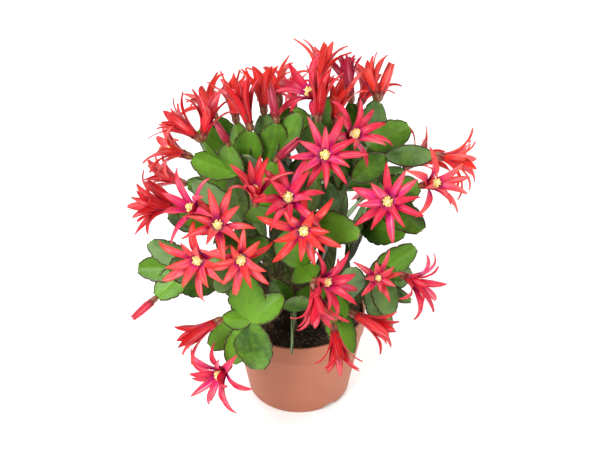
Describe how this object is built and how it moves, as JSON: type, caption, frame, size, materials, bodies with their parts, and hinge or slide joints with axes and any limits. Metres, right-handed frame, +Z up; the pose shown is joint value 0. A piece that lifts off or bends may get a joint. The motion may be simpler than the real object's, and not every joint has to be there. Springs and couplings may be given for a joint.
{
  "type": "potted flowering cactus",
  "caption": "Easter cactus in a round plastic nursery pot: jointed flat green stems that arch over the rim, with star-shaped red blooms and closed buds at their tips.",
  "frame": {"origin": "centre of the pot's base, on the surface it stands on", "axes": "+Z up along the pot's axis; the plant's fullest side, the one in the picture, faces -Y; +X to its right"},
  "size_m": [0.2897, 0.2765, 0.3341],
  "materials": {
    "pot_plastic": "matte",
    "compost": "matte",
    "stem_skin": "satin",
    "petal_coral": "satin",
    "petal_scarlet": "satin",
    "petal_pink": "satin",
    "petal_crimson": "satin",
    "flower_base": "satin",
    "stamens": "matte"
  },
  "bodies": {
    "root": {"bloom_01": "petal_coral", "bloom_02": "petal_crimson", "bloom_03": "petal_coral", "bloom_04": "petal_pink", "bloom_05": "petal_scarlet", "bloom_06": "petal_coral", "bloom_07": "petal_coral", "bloom_08": "petal_scarlet", "bloom_09": "petal_coral", "bloom_10": "petal_crimson", "bloom_11": "petal_scarlet", "bloom_12": "petal_crimson", "bloom_13": "petal_coral", "bloom_14": "petal_scarlet", "bloom_16": "petal_pink", "bloom_17": "petal_coral", "bloom_18": "petal_coral", "bloom_19": "petal_coral", "bloom_20": "petal_scarlet", "bloom_21": "petal_pink", "bloom_22": "petal_coral", "bloom_24": "petal_pink", "bloom_25": "petal_pink", "bloom_26": "petal_pink", "bloom_27": "petal_coral", "bloom_28": "petal_coral", "bloom_29": "petal_crimson", "bloom_30": "petal_pink", "bloom_32": "petal_scarlet", "bloom_33": "petal_scarlet", "bloom_34": "petal_scarlet", "bloom_35": "petal_pink", "bloom_36": "petal_scarlet", "bloom_37": "petal_pink", "bloom_38": "petal_pink", "bloom_back_1": "petal_coral", "bloom_back_2": "petal_pink", "bloom_back_3": "petal_scarlet", "bloom_back_4": "petal_coral", "bloom_back_5": "petal_coral", "bloom_back_6": "petal_pink", "bloom_back_7": "petal_scarlet", "bloom_back_8": "petal_coral", "pot": "pot_plastic", "soil": "compost", "stem_back": "stem_skin", "stem_back_left": "stem_skin", "stem_back_right": "stem_skin", "stem_centre": "stem_skin", "stem_crown": "stem_skin", "stem_crown_left": "stem_skin", "stem_crown_right": "stem_skin", "stem_front": "stem_skin", "stem_front_left": "stem_skin", "stem_front_right": "stem_skin", "stem_left_high": "stem_skin", "stem_left_low": "stem_skin", "stem_left_mid": "stem_skin", "stem_right": "stem_skin", "stem_right_low": "stem_skin"}
  },
  "joints": []
}
